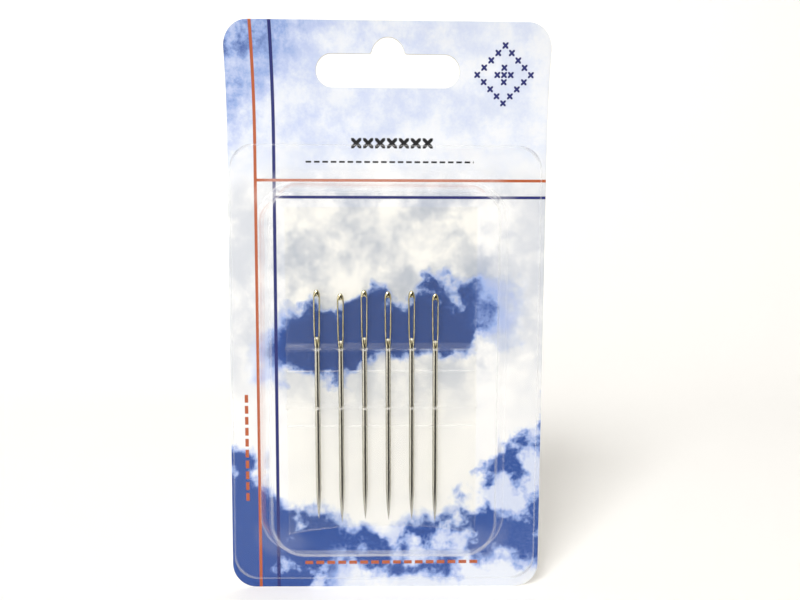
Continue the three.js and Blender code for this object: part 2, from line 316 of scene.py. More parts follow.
def makeSweep(data):
    # one profile carried along x: flat floor, quarter turn, then the wall behind
    floor, bend = data["floor"], data["bend"]
    corners = [(data["front"], floor), (bend, floor), (bend, floor + data["height"])]
    profile = filletPath(corners, [data["radius"]], 24)
    across = np.linspace(-data["half"], data["half"], 9)
    points = np.empty((len(profile), len(across), 3))
    points[..., 0] = across
    points[..., 1:] = profile[:, None]
    index = np.arange(points[..., 0].size).reshape(points.shape[:2])
    mesh = skinMesh("sweep", points, gridQuads(index), closed=False)
    paper = bpy.data.objects.new("sweep", mesh)
    bpy.context.scene.collection.objects.link(paper)
    material, tree = newMaterial("sweepPaper")
    rays = put(tree, "LightPath").outputs
    seen = calc(tree, "ADD", plus(tree, rays["Is Camera Ray"], rays["Is Glossy Ray"]),
                rays["Is Transmission Ray"], clamp=True)
    matte = put(tree, "BsdfDiffuse", {"Color": data["white"]})
    glow = put(tree, "Emission", {"Color": data["glow"], "Strength": times(tree, seen, data["lift"])})
    both = put(tree, "AddShader", {0: matte.outputs[0], 1: glow.outputs[0]})
    place = axes(tree, millimetres(tree))
    aside = absolute(tree, calc(tree, "MULTIPLY_ADD", place["Y"], data["turn"], place["X"]))
    aside = calc(tree, "MULTIPLY_ADD", place["Y"], data["spread"], aside)
    wedge = times(tree, ease(tree, place["Y"], *data["darkens"]), ease(tree, aside, *data["softSide"]))
    shade = put(tree, "BsdfDiffuse", {"Color": data["dark"]})
    mixed = put(tree, "MixShader", {0: times(tree, wedge, rays["Is Glossy Ray"]), 1: both.outputs[0],
                                    2: shade.outputs[0]})
    surface(tree, mixed)
    mesh.materials.append(material)


lamps = {
    "key": {"place": (-661, -1297, 1161), "size": 620, "watts": 25.4, "colour": (1, 0.99, 0.97)},
    "front": {"place": (-120, -700, -20), "size": 600, "watts": 2.0, "colour": (1, 0.985, 0.96)},
    "window": {"place": (-360, -430, -50), "size": 560, "watts": 0.35, "colour": (1, 0.985, 0.96)},
    "fill": {"place": (420, -320, -50), "size": 460, "watts": 0.25, "colour": (1, 0.96, 0.88)},
}
lampAim = (0, 0, -60)
unmirrored = {"front"}  # lamps that don't show in reflections


def makeLamp(name, data):
    lamp = bpy.data.lights.new(name, "AREA")
    lamp.energy, lamp.size, lamp.color = data["watts"], data["size"] * mm, data["colour"]
    holder = bpy.data.objects.new(name, lamp)
    away = unit(np.array(data["place"], float) - np.array(lampAim, float))
    side = unit(np.cross([0, 0, 1], away))
    holder.matrix_world = turnedTo(side, np.cross(away, side), away, data["place"])
    holder.visible_glossy = name not in unmirrored
    bpy.context.scene.collection.objects.link(holder)


air = {"ambient": 0.21, "warmth": (1, 0.94, 0.83, 1), "white": (1, 1, 1, 1),
       "leftToRight": (-0.3, 0.5, 0.82, 0.46), "frontDark": 0.05, "turn": 20, "darkens": (0.68, 0.80)}


def makeWorld(data):
    # white where the camera or a clear sheet meets it, dimmer as a lamp; in reflections it falls off to the
    # right, and the side that the viewer stands on is dark
    world = bpy.data.worlds.new("air")
    bpy.context.scene.world = world
    world.use_nodes = True
    tree = world.node_tree
    tree.nodes.clear()
    rays = put(tree, "LightPath").outputs
    way = axes(tree, put(tree, "TexCoord").outputs["Generated"])
    side = ease(tree, way["X"], *data["leftToRight"])
    turn = np.radians(data["turn"])
    toDark = times(tree, way["Y"], -float(np.cos(turn)))
    toDark = calc(tree, "MULTIPLY_ADD", way["X"], float(np.sin(turn)), toDark)
    mirror = ease(tree, toDark, *data["darkens"], side, data["frontDark"])
    level = plus(tree, times(tree, rays["Is Glossy Ray"], mirror),
                 times(tree, minus(tree, 1.0, rays["Is Glossy Ray"]), data["ambient"]))
    seen = calc(tree, "ADD", rays["Is Camera Ray"], rays["Is Transmission Ray"], clamp=True)
    level = calc(tree, "MAXIMUM", level, seen)
    colour = tint(tree, seen, data["warmth"], data["white"])
    sky = put(tree, "Background", {"Color": colour, "Strength": level})
    tree.links.new(sky.outputs[0], put(tree, "OutputWorld").inputs[0])


makeCamera(camera)
makeSweep(sweep)
for lampName, lampData in lamps.items():
    makeLamp(lampName, lampData)
makeWorld(air)
bpy.context.scene.view_settings.view_transform = "Standard"
print("setting: camera, sweep,", ", ".join(lamps))


# Card: a board with rounded corners, a punched slot and a header that curls to the front

card = {
    "left": -36.225, "right": 36.225, "bottom": -126.55, "top": 3.2, "corner": 5.6,
    "front": 2.921, "back": 3.421, "wear": 0.07,
    "bendFrom": -22.3, "bendRadius": 80.0,
    "slotMiddle": (0.0, -6.85), "slotHalf": 16.0, "slotRadius": 3.5,
    "riseCentre": -3.7, "riseRadius": 3.7, "shoulder": -3.35, "riseFillet": 0.7, "filletPlace": (4.27, -2.65),
    "rows": 40, "bunching": 1.5,  # rows of points from slot to edge, closer near the slot
}


def headerCurl(z):
    # the header follows a circle: R - sqrt(R^2 - s^2), with s the height above the start of the bend
    s = np.clip(z - card["bendFrom"], 0, None)
    return card["bendRadius"] - np.sqrt(card["bendRadius"] ** 2 - s ** 2)


def slotOutline(data):
    # half outline from the bottom middle round the right end, over shoulder, fillet and rise, then mirrored
    middle, radius = data["slotMiddle"][1], data["slotRadius"]
    end = data["slotHalf"] - radius
    turn = np.linspace(-np.pi / 2, np.pi / 2, 161)
    fx, fz = data["filletPlace"]
    fillet, rise, riseCentre = data["riseFillet"], data["riseRadius"], data["riseCentre"]
    away = np.arctan2(riseCentre - fz, -fx)
    bend = np.linspace(1.5 * np.pi, 2 * np.pi + away, 25)
    over = np.linspace(np.arctan2(fz - riseCentre, fx), np.pi / 2, 81)
    half = np.concatenate([
        np.stack([np.linspace(0, end, 60, endpoint=False), np.full(60, middle - radius)], 1),
        np.stack([end + radius * np.cos(turn), middle + radius * np.sin(turn)], 1),
        np.stack([np.linspace(end, fx, 60)[1:-1], np.full(58, data["shoulder"])], 1),
        np.stack([fx + fillet * np.cos(bend), fz + fillet * np.sin(bend)], 1),
        np.stack([rise * np.cos(over), riseCentre + rise * np.sin(over)], 1),
    ])
    return np.concatenate([half, half[-2:0:-1] * [-1, 1]])


def polar(outline, centre):
    # angle and distance of an outline's points from a centre inside it, in order of angle
    way = outline - centre
    angle, reach = np.arctan2(way[:, 1], way[:, 0]), np.hypot(way[:, 0], way[:, 1])
    order = np.argsort(angle)
    return angle[order], reach[order]


def cardSurface(data):
    # rays from the middle of the slot cross slot and card edge once each; rows of points run along them
    # over the front, round the worn outer edge, over the back and through the slot
    centre = np.array(data["slotMiddle"])
    slotAngle, slotReach = polar(slotOutline(data), centre)
    sides = [data[key] for key in ("left", "right", "bottom", "top", "corner")]
    edgeAngle, edgeReach = polar(roundedRings(*sides, arc=200, run=900)[0], centre)
    coarseAngle = polar(roundedRings(*sides, arc=16, run=40)[0], centre)[0]
    angle = np.unique(np.round(np.concatenate([coarseAngle, slotAngle[::4]]), 5))
    near = np.interp(angle, slotAngle, slotReach, period=2 * np.pi)
    far = np.interp(angle, edgeAngle, edgeReach, period=2 * np.pi)
    wear = data["wear"]
    run = np.linspace(0, 1, data["rows"])[:, None] ** data["bunching"]
    across = (near + wear) + ((far - wear) - (near + wear)) * run
    corner = np.linspace(0, np.pi / 2, 5)[1:-1, None]
    outFront, outBack = far - wear + wear * np.sin(corner), far - wear + wear * np.cos(corner)
    inBack, inFront = near + wear - wear * np.sin(corner), near + wear - wear * np.cos(corner)
    reach = np.concatenate([across, outFront, far[None], far[None], outBack, across[::-1],
                            inBack, near[None], near[None], inFront])
    setIn = (wear * (1 - np.cos(corner))) * np.ones_like(far)
    setOut = (wear * (1 - np.sin(corner))) * np.ones_like(far)
    flat = np.ones((1, len(angle)))
    front, back = data["front"], data["back"]
    depth = np.concatenate([front * np.ones_like(across), front + setIn, (front + wear) * flat,
                            (back - wear) * flat, back - setOut, back * np.ones_like(across), back - setIn,
                            (back - wear) * flat, (front + wear) * flat, front + setOut])
    points = np.empty(reach.shape + (3,))
    points[..., 0] = centre[0] + reach * np.cos(angle)
    points[..., 2] = centre[1] + reach * np.sin(angle)
    points[..., 1] = depth - headerCurl(points[..., 2])
    rows, around = reach.shape
    index = ringIndex(rows, around)
    index = np.concatenate([index, index[:1]])
    slots = np.ones((rows, around), int)
    slots[:len(across) - 1] = 0
    return points, gridQuads(index), slots.ravel()


# inks, the print's turn, ruled lines (place, width), running stitches (start, end, line, pitch, share of
# thread, width) and cross-stitches (middle, pitch, weight of thread in a cell), in mm
prints = {
    "orange": (0.42, 0.095, 0.03, 1), "navy": (0.019, 0.024, 0.15, 1), "ink": (0.012, 0.012, 0.014, 1),
    "askew": 0.0038, "pivot": (-17.0, -24.0),
    "orangeUp": (-30.0, 0.70), "navyUp": (-25.76, 0.75),
    "orangeOver": (-30.85, 0.64), "navyOver": (-34.65, 0.65),
    "sideRow": (-105.5, -79.5, -32.8, 2.6, 0.72, 0.8), "footRow": (-19.5, 22.0, -120.6, 2.6, 0.72, 0.8),
    "thinRow": (-18.6, 19.6, -26.7, 1.9, 0.68, 0.42),
    "crossRow": ((1.0, -22.5), 2.7, 0.42), "crossReach": 3.5,
    "diamond": ((26.0, -7.6), 1.5, 0.46), "diamondRing": 4, "diamondHeart": 1.5,
    "gloss": (0.35, 0.65, 0.30, 0.42), "specular": 0.4,
    "bump": 0.06, "bumpDeep": 0.00005, "bumpNoise": (0.5, 3),
}

# noises (blot in mm, detail, roughness) and smooth changes (from, to, share at from, share at to)
clouds = {
    "edgeNoise": (13, 7, 0.6), "push": 30.0, "gentlePush": 0.4, "swirlPush": 0.35,
    "blotNoise": (9, 8, 0.66), "blotOffset": (40, 0, 17),
    "headerUp": (-36, -18, 0, 0.22), "headerAcross": (-22, 34, 0.9, 0.6),
    "headerBlots": (0.36, 0.64, 1.4, 0.45), "cornerSlant": 0.8, "corner": (12, 36, 0, 0.44),
    "gapSlope": 0.16, "gapLine": -65.0, "gapHalf": (9.5, 5.0, 0, 0.92), "gapMiddle": -1.0,
    "gapEnds": (33, 17),
    "bowl": 0.021, "bowlToRight": 0.00018, "low": (-111.0, -117.5, 0, 0.84), "lowAcross": (8, 34, 1, 0.93),
    "lowNoise": (17, 5, 0.6), "lowOffset": (5, 0, 60), "lowBlots": (0.40, 0.50, 0.25, 1),
    "bankDown": (-118.0, -123.0), "bankAcross": (-16, -4, 0, 0.88),
    "grainNoise": (0.7, 3, 0.6), "grain": (0.35, 0.03),
    "sky": [(0.0, (0.835, 0.835, 0.83)), (0.12, (0.69, 0.73, 0.82)), (0.30, (0.47, 0.54, 0.76)),
            (0.52, (0.25, 0.35, 0.65)), (0.78, (0.028, 0.080, 0.31)), (1.0, (0.018, 0.048, 0.20))],
    "puff": {"Scale": 1 / 10.5, "Detail": 3.0, "Roughness": 0.55, "Smoothness": 0.6}, "puffShare": 0.55,
    "hollowNoise": (14, 8, 0.66), "hollowOffset": (11, 0, 3), "hollow": (0.78, 1.30, 0, 1),
    "hollowOnBlue": (0.1, 0.5, 1, 0), "hollowLow": (-92, -66, 0.1, 1), "hollowHigh": (-36, -26, 1, 0.1),
    "hollowAside": (22, 31, 1, 0.62), "grey": (0.50, 0.55, 0.66, 1),
}


def stripe(tree, value, middle, width, soft=0.05):
    # 1 inside a ruled line, 0 outside
    away = absolute(tree, minus(tree, value, middle))
    return ease(tree, away, width / 2 + soft, width / 2 - soft)


def dashes(tree, along, across, start, end, line, pitch, fill, width):
    # a row of running stitches: stripe across the line, broken every pitch, cut off at both ends
    beat = calc(tree, "FRACT", calc(tree, "DIVIDE", minus(tree, along, start), pitch))
    on = stripe(tree, beat, fill / 2, fill, 0.04)
    inside = stripe(tree, along, (start + end) / 2, abs(end - start), 0.02)
    return times(tree, times(tree, on, inside), stripe(tree, across, line, width))


def crossStitches(tree, x, z, middle, pitch, weight, reach=0.86):
    # small crosses on a square grid, with each cell's distance from the middle one
    gridX = calc(tree, "DIVIDE", minus(tree, x, middle[0]), pitch)
    gridZ = calc(tree, "DIVIDE", minus(tree, z, middle[1]), pitch)
    cellX, cellZ = calc(tree, "ROUND", gridX), calc(tree, "ROUND", gridZ)
    inX, inZ = minus(tree, gridX, cellX), minus(tree, gridZ, cellZ)
    rising = stripe(tree, minus(tree, inX, inZ), 0, weight)
    falling = stripe(tree, plus(tree, inX, inZ), 0, weight)
    box = times(tree, stripe(tree, inX, 0, reach), stripe(tree, inZ, 0, reach))
    cross = times(tree, calc(tree, "MAXIMUM", rising, falling), box)
    return cross, absolute(tree, cellX), absolute(tree, cellZ)


def cloudySky(tree, flat, x, z, grain, data):
    def part(value, name):
        return ease(tree, value, *data[name])

    # cloud edges: the place is pushed about by fractal noise before the large forms are drawn
    push = vector(tree, "SUBTRACT", noise(tree, flat, *data["edgeNoise"], output=1), (0.5, 0.5, 0.5))
    push = vector(tree, "SCALE", push, data["push"])
    cloudy = axes(tree, vector(tree, "ADD", flat, push))
    cx, cz = cloudy["X"], cloudy["Z"]
    gentle = axes(tree, vector(tree, "ADD", flat, vector(tree, "SCALE", push, data["gentlePush"])))
    # pale sky on the header, deeper to its left corner
    header = times(tree, part(gentle["Z"], "headerUp"), part(cx, "headerAcross"))
    corner = minus(tree, times(tree, gentle["Z"], data["cornerSlant"]), gentle["X"])
    header = plus(tree, header, part(corner, "corner"))
    blots = noise(tree, flat, *data["blotNoise"], offset=data["blotOffset"])
    header = times(tree, header, part(blots, "headerBlots"))
    # a slanting gap of open sky behind the eyes
    slant = minus(tree, cz, calc(tree, "MULTIPLY_ADD", cx, data["gapSlope"], data["gapLine"]))
    gap = part(absolute(tree, slant), "gapHalf")
    gap = times(tree, gap, part(absolute(tree, minus(tree, cx, data["gapMiddle"])), "gapEnds"))
    # deep sky along the bottom, higher at both sides and most at the right
    rise = calc(tree, "MULTIPLY_ADD", cx, data["bowlToRight"], data["bowl"])
    rise = times(tree, times(tree, cx, cx), rise)
    low = times(tree, part(minus(tree, cz, rise), "low"), part(cx, "lowAcross"))
    blots = noise(tree, flat, *data["lowNoise"], offset=data["lowOffset"])
    low = times(tree, low, part(blots, "lowBlots"))
    # a bank of cloud along the bottom edge, from the middle to the right
    bank = times(tree, part(cz, "bankDown"), part(cx, "bankAcross"))
    low = times(tree, low, minus(tree, 1.0, bank))
    blue = calc(tree, "MAXIMUM", calc(tree, "MAXIMUM", header, gap), low)
    grainy = times(tree, minus(tree, grain, 0.5), calc(tree, "MULTIPLY_ADD", blue, *data["grain"]))
    blue = plus(tree, blue, grainy)
    sky = ramp(tree, blue, data["sky"])
    # grey hollows in the clouds
    swirl = vector(tree, "ADD", flat, vector(tree, "SCALE", push, data["swirlPush"]))
    puff = put(tree, "TexVoronoi", {"Vector": swirl, **data["puff"]}, feature="SMOOTH_F1").outputs["Distance"]
    hollow = plus(tree, times(tree, puff, data["puffShare"]),
                  noise(tree, flat, *data["hollowNoise"], offset=data["hollowOffset"]))
    hollow = times(tree, part(hollow, "hollow"), part(blue, "hollowOnBlue"))
    where = times(tree, part(z, "hollowLow"), part(z, "hollowHigh"))
    where = times(tree, where, part(absolute(tree, x), "hollowAside"))
    greyed = tint(tree, 1.0, sky, data["grey"], "MULTIPLY")
    return tint(tree, times(tree, hollow, where), sky, greyed)


def cardPrint(data, sky):
    material, tree = newMaterial("cardPrint")
    place = axes(tree, millimetres(tree))
    flat = put(tree, "CombineXYZ", {0: place["X"], 2: place["Z"]}).outputs[0]
    # the print sits a little askew on the card
    pivotX, pivotZ = data["pivot"]
    x = calc(tree, "MULTIPLY_ADD", minus(tree, place["Z"], pivotZ), data["askew"], place["X"])
    z = calc(tree, "MULTIPLY_ADD", minus(tree, place["X"], pivotX), -data["askew"], place["Z"])
    grain = noise(tree, flat, *sky["grainNoise"])
    colour = cloudySky(tree, flat, x, z, grain, sky)
    # ruled lines: two upright, and two that start from them
    up, upNavy = stripe(tree, x, *data["orangeUp"]), stripe(tree, x, *data["navyUp"])
    over, overNavy = stripe(tree, z, *data["orangeOver"]), stripe(tree, z, *data["navyOver"])
    over = times(tree, over, calc(tree, "GREATER_THAN", x, data["orangeUp"][0]))
    overNavy = times(tree, overNavy, calc(tree, "GREATER_THAN", x, data["navyUp"][0]))
    # rows of running stitches
    side = dashes(tree, z, x, *data["sideRow"])
    foot = dashes(tree, x, z, *data["footRow"])
    thin = dashes(tree, x, z, *data["thinRow"])
    # cross-stitches: a row on the header, and a diamond at its right
    cross, cellX, cellZ = crossStitches(tree, x, z, *data["crossRow"])
    bold = times(tree, cross, times(tree, calc(tree, "LESS_THAN", cellX, data["crossReach"]),
                                    calc(tree, "LESS_THAN", cellZ, 0.5)))
    cross, cellX, cellZ = crossStitches(tree, x, z, *data["diamond"])
    ring = plus(tree, cellX, cellZ)
    shown = plus(tree, stripe(tree, ring, data["diamondRing"], 0.5),
                 calc(tree, "LESS_THAN", ring, data["diamondHeart"]))
    diamond = times(tree, cross, shown)
    for share, ink in ((upNavy, "navy"), (overNavy, "navy"), (over, "orange"), (up, "orange"),
                       (side, "orange"), (foot, "orange"), (bold, "ink"), (thin, "ink"), (diamond, "navy")):
        colour = tint(tree, share, colour, data[ink])
    bump = put(tree, "Bump", {"Strength": data["bump"], "Distance": data["bumpDeep"],
                              "Height": noise(tree, flat, *data["bumpNoise"])})
    surface(tree, put(tree, "BsdfPrincipled", {
        "Base Color": colour, "Roughness": ease(tree, grain, *data["gloss"]), "Normal": bump.outputs[0],
        "Specular IOR Level": data["specular"]}))
    return material


board = {"fibreStretch": (1, 1, 0.25), "fibreNoise": (0.4, 4, 0.65), "blotNoise": (9, 4), "fibreShare": 0.6,
         "greys": [(0.3, (0.66, 0.65, 0.62)), (0.7, (0.80, 0.79, 0.765))],
         "rough": 0.78, "specular": 0.25, "bump": 0.2, "bumpDeep": 0.00008}


def cardBoard(data):
    # unprinted white board with short fibres
    material, tree = newMaterial("cardBoard")
    place = millimetres(tree)
    fibre = noise(tree, vector(tree, "MULTIPLY", place, data["fibreStretch"]), *data["fibreNoise"])
    blots = noise(tree, place, *data["blotNoise"])
    mottle = plus(tree, times(tree, fibre, data["fibreShare"]), times(tree, blots, 1 - data["fibreShare"]))
    bump = put(tree, "Bump", {"Strength": data["bump"], "Distance": data["bumpDeep"], "Height": fibre})
    surface(tree, put(tree, "BsdfPrincipled", {
        "Base Color": ramp(tree, mottle, data["greys"]), "Roughness": data["rough"],
        "Normal": bump.outputs[0], "Specular IOR Level": data["specular"]}))
    return material


cardPoints, cardQuads, cardSlots = cardSurface(card)
cardMesh = skinMesh("printedCard", cardPoints, cardQuads, cardSlots)
addPiece("printedCard", cardMesh, "pack", "card", "printed_card", cardPrint(prints, clouds), cardBoard(board))
print("card:", len(cardQuads), "faces")


# Blister: a thin sheet drawn into a bubble, with a flat flange that is sealed to the card

blister = {
    "sheet": 0.3, "back": 2.891, "depth": 9.77, "draft": 3.5, "footRun": 2.2, "frontRun": 3.2,
    "footBend": 1.1, "frontBend": 1.6, "profileSteps": 97,
    "bubble": (-29.075, 27.275, -117.45, -31.55), "bubbleCorner": 8.5,
    "sideDraft": (1.08, 0.84, 0.83, 0.76),  # share of the draft at left, right, bottom and top
    "lowCorner": 0.29,  # share of the inset that the lower corners' radius loses
    "flange": (-35.725, 35.225, -124.45, -22.8), "flangeCorner": 5.5,
    "flangeRows": (0, 0.035, 0.07, 0.2, 0.4, 0.6, 0.8),
    "wave": 0.16, "pucker": 0.10, "puckers": 46, "puckerPlace": 0.93, "puckerWidth": 0.9,
    "frontLine": (0.5, 0.11), "footLine": (0.45, 0.16),  # painted highlight lines: share of the bend, width
}
# how much white the sheet takes along its bends and on its walls, as painted highlights, and in its corners,
# partly real stress whitening; and how grey its edge and lines look, as painted shade
whiteningAndHighlights = {"front": 0.13, "foot": 0.06, "topWall": 0.1, "bottomWall": 0.3, "bottomFront": 0.5,
             "cornerFront": 0.32, "cornerFoot": 0.35, "cornerWall": 0.05,
             "topReach": (6, 2), "topLevel": 0.8, "bottomReach": (4, 9), "bottomLevels": (0.04, 0.9)}
paintedEdgeShade = {"cutEdge": 0.4, "cutCorner": 0.6, "front": 0.4, "foot": 0.2}


def blisterSurface(data, white, grey):
    # the wall's profile (inset from the bubble's foot, depth from the card) is bent at foot and front and
    # offset by the sheet for the outer skin; each profile point becomes a rounded rectangle, and the front
    # closes to a pole
    sheet, deep, draft = data["sheet"], data["depth"] - data["sheet"], data["draft"]
    inner = filletPath([(-data["footRun"], 0), (0, 0), (draft, deep), (draft + data["frontRun"], deep)],
                       [data["footBend"], data["frontBend"]], 10)
    inner = spread(inner, np.linspace(0, pathLength(inner), data["profileSteps"]))
    along = np.gradient(inner, axis=0)
    along = along / np.linalg.norm(along, axis=1)[:, None]
    outer = inner + sheet * np.stack([-along[:, 1], along[:, 0]], 1)
    steep = np.arctan2(along[:, 1], along[:, 0])
    upper = inner[:, 1] > deep / 2
    # the painted highlight lines sit at a share of each bend's steepness
    linePlace, lineWidth = (np.where(upper, *pair) for pair in zip(data["frontLine"], data["footLine"]))
    bend = bell(steep / steep.max(), linePlace, lineWidth)
    left, right, bottom, top = data["bubble"]
    closing = np.concatenate([np.linspace(1, 0.04, 26)[1:], [0.0]])[:, None, None]  # rings over the front

    def skin(path):
        inset, depth = path[:, 0], path[:, 1]
        # each wall leans by its own share of the draft, and the lower corners stay wide up to the front
        inward = np.clip(inset, 0, None)
        ins = inset + inward * (np.array(data["sideDraft"])[:, None] - 1)
        corner = data["bubbleCorner"] - inset
        low = corner + inward * (1 - data["lowCorner"])
        rings = roundedRings(left + ins[0], right - ins[1], bottom + ins[2], top - ins[3], corner, low)
        middle = np.array([(left + right) / 2, (bottom + top) / 2])
        front = middle + (rings[-1:] - middle) * closing
        start = roundedRings(*data["flange"], data["flangeCorner"])
        flange = start + (rings[:1] - start) * np.array(data["flangeRows"])[:, None, None]
        flat = np.concatenate([flange, rings, front])
        level = np.concatenate([np.full(len(flange), depth[0]), depth, np.full(len(front), depth[-1])])
        return flat, level[:, None], len(flange)

    points, folds, rims = [], [], []
    for path in (outer, inner):
        flat, level, rim = skin(path)
        around = flat.shape[1]
        x, z = flat[..., 0], flat[..., 1]
        number = np.arange(len(level))[:, None]
        wall = (number >= rim) & (number < rim + len(path))
        corners = roundness(around)
        # slow waves over the front, and small puckers round the corners of its bend
        wave = 1 + 0.5 * np.sin(x * 0.21 + 0.9 + 0.05 * z) + 0.5 * np.sin(z * 0.13 + 0.04 * x)
        ripple = 0.5 + 0.5 * np.sin(data["puckers"] * (np.arange(around) / around * 2 * np.pi))
        atBend = bell(level, data["puckerPlace"] * deep, data["puckerWidth"]) * wall
        lift = level - smoothStep(level, 0.5 * deep, deep) * data["wave"] * wave
        lift = lift - data["pucker"] * atBend * ripple * corners
        points.append(np.stack([x, data["back"] - lift, z], -1))
        # painted highlights: the sheet is whitened a little along its bends and on its top and bottom walls,
        # and more at the corners, where it is partly real stress whitening; its cut edge and bend lines are
        # painted grey, as shade
        front, foot = np.zeros((2, len(level), 1))
        front[rim:rim + len(path), 0] = bend * upper
        foot[rim:rim + len(path), 0] = bend * ~upper
        topFrom, topFull = white["topReach"]
        topWall = smoothStep(z, top - topFrom, top - topFull) * wall * (level < white["topLevel"] * deep)
        bottomFull, bottomTo = white["bottomReach"]
        near = 1 - smoothStep(z, bottom + bottomFull, bottom + bottomTo)
        lowest, highest = white["bottomLevels"]
        bottomWall = near * wall * ((level > lowest * deep) & (level < highest * deep))
        atBottom = white["bottomWall"] * bottomWall + white["bottomFront"] * near * front
        inCorner = white["cornerFront"] * front + white["cornerFoot"] * foot + white["cornerWall"] * wall
        folds.append(white["front"] * front + white["foot"] * foot + white["topWall"] * topWall
                     + atBottom * (1 - corners) + corners ** 2 * inCorner)
        # painted shade: grey on the flange's cut edge, more at its corners, and along the bend lines
        rims.append((number < 2) * (grey["cutEdge"] + grey["cutCorner"] * corners)
                    + (grey["front"] * front * (1 - near) + grey["foot"] * foot) * (1 - corners))

    def joined(skins):
        # the inner skin from its pole to the flange's edge, then the outer one to its own pole
        return np.concatenate([skins[1][::-1], skins[0]])

    rows = joined(points)
    index = ringIndex(len(rows), rows.shape[1])
    index[0] = index[0, 0]
    index[-1] = index[-1, 0]
    return rows, gridQuads(index), {"fold": joined(folds), "rim": joined(rims)}


plastic = {"slantPower": 3.2, "bumpDeep": 0.0002,
           "scratchStretch": (1, 1, 0.3), "scratchNoise": (1.3, 6, 0.7), "scratch": (0.62, 0.8),
           "shine": (1, 1, 1, 1), "hazeAndHighlightWhite": (0.9, 0.9, 0.9, 1), "grey": (0.42, 0.43, 0.47, 1)}


def clearPlastic(name, data):
    # light passes straight on; the rest is mirrored, a little head on and more at a slant, with some white
    # haze and fine scratches;
    # along folds and bends white is added as painted highlight, partly real stress whitening on the blister's
    # corners
    material, tree = newMaterial(name)
    place = millimetres(tree)
    slant = put(tree, "LayerWeight", {"Blend": 0.5}).outputs["Facing"]
    slant = calc(tree, "POWER", slant, plastic["slantPower"])
    mirror = calc(tree, "MULTIPLY_ADD", slant, data["edge"], data["facing"])
    bump = put(tree, "Bump", {"Strength": data["bump"], "Distance": plastic["bumpDeep"],
                              "Height": noise(tree, place, data["blot"], 2)})
    shine = put(tree, "BsdfGlossy", {"Color": plastic["shine"], "Roughness": data["rough"],
                                     "Normal": bump.outputs[0]})
    through = put(tree, "BsdfTransparent", {"Color": data["tint"]})
    clear = put(tree, "MixShader", {0: mirror, 1: through.outputs[0], 2: shine.outputs[0]})
    stretched = vector(tree, "MULTIPLY", place, plastic["scratchStretch"])
    scratch = noise(tree, stretched, *plastic["scratchNoise"])
    haze = ease(tree, scratch, *plastic["scratch"], data["haze"], data["scuff"])
    # painted highlights: the fold attribute adds white haze along bends and folds; painted shade: the rim
    # attribute adds grey haze on the blister's cut edge and bend lines
    haze = calc(tree, "MULTIPLY_ADD", attribute(tree, "fold"), data["folds"], haze)
    shade = plastic["hazeAndHighlightWhite"]
    if "rim" in data:
        rim = attribute(tree, "rim")
        haze = calc(tree, "MULTIPLY_ADD", rim, data["rim"], haze)
        shade = tint(tree, rim, shade, plastic["grey"])
    hazeAndHighlightWhite = put(tree, "BsdfDiffuse", {"Color": shade})
    surface(tree, put(tree, "MixShader", {0: haze, 1: clear.outputs[0], 2: hazeAndHighlightWhite.outputs[0]}))
    return material


# folds and rim weigh the blister's painted highlights, with some real corner whitening, and its painted grey
# edge shade
blisterFinish = {"edge": 0.42, "facing": 0.006, "rough": 0.05, "bump": 0.25, "blot": 7.0,
                 "tint": (1, 1, 1, 1), "haze": 0.002, "scuff": 0.02, "folds": 0.6, "rim": 0.3}
blisterPoints, blisterQuads, blisterMarks = blisterSurface(blister, whiteningAndHighlights, paintedEdgeShade)
blisterMesh = skinMesh("clearBlister", blisterPoints, blisterQuads, attributes=blisterMarks)
bubble = addPiece("clearBlister", blisterMesh, "pack", "blister", "clear_blister",
                  clearPlastic("clearSheet", blisterFinish))
bubble.visible_shadow = bubble.visible_diffuse = False
print("blister:", len(blisterQuads), "faces")


# Row of needles, leaning a little with its film

row = {"pivot": (-2.325, -82.4), "lean": 0.42, "pitch": 5.42, "first": -15.875, "axis": 1.471, "tip": -109.3,
       "drops": (0, 0.88, 0.14, 0.43, 0.35, 0.96)}
needlePlaces = row["first"] + row["pitch"] * np.arange(len(row["drops"]))


def leanOver(points):
    # turn about the pivot in the plane of the card
    angle = np.radians(row["lean"])
    x, z = points[..., 0] - row["pivot"][0], points[..., 2] - row["pivot"][1]
    turned = points.copy()
    turned[..., 0] = row["pivot"][0] + x * np.cos(angle) - z * np.sin(angle)
    turned[..., 2] = row["pivot"][1] + x * np.sin(angle) + z * np.cos(angle)
    return turned


film = {
    "left": -23.075, "right": 20.875, "bottom": -113.35, "top": -36.8, "middle": 2.521, "sheet": 0.2,
    "arch": 2.0, "archBelow": 3,  # rise of the bottom edge; how far under the lower ridge it sets in
    "pleats": (-82.5, -68.9), "pleatHeight": 2.6, "pleatBase": 1.9, "fold": 0.25, "hole": 0.88,
    "creases": (-87.4, -74.5), "creaseHeight": 0.12, "creaseWidth": 0.16,
    "lip": 0.75, "lipWidth": 0.86, "wave": 0.09,
    "rows": 215, "columns": 200, "ridgeWeight": 9.0, "creaseWeight": 12.0, "creaseReach": 0.5,
    "holeWeight": 6.0, "holeReach": 1.25,
    # shares of a ridge's height: where the flat sheet ends, and where wall, top and lip take painted
    # highlights, and how much
    "flatRange": (0.0, 0.15), "wallRange": (0.02, 0.15), "topRange": (0.93, 1.0), "lipRange": (0.7, 0.95),
    "wallWhite": 0.035, "topWhite": 0.2, "creaseWhite": 0.5, "lipWhite": (0.85, 0.6), "lipWhiteWidth": 0.83,
}


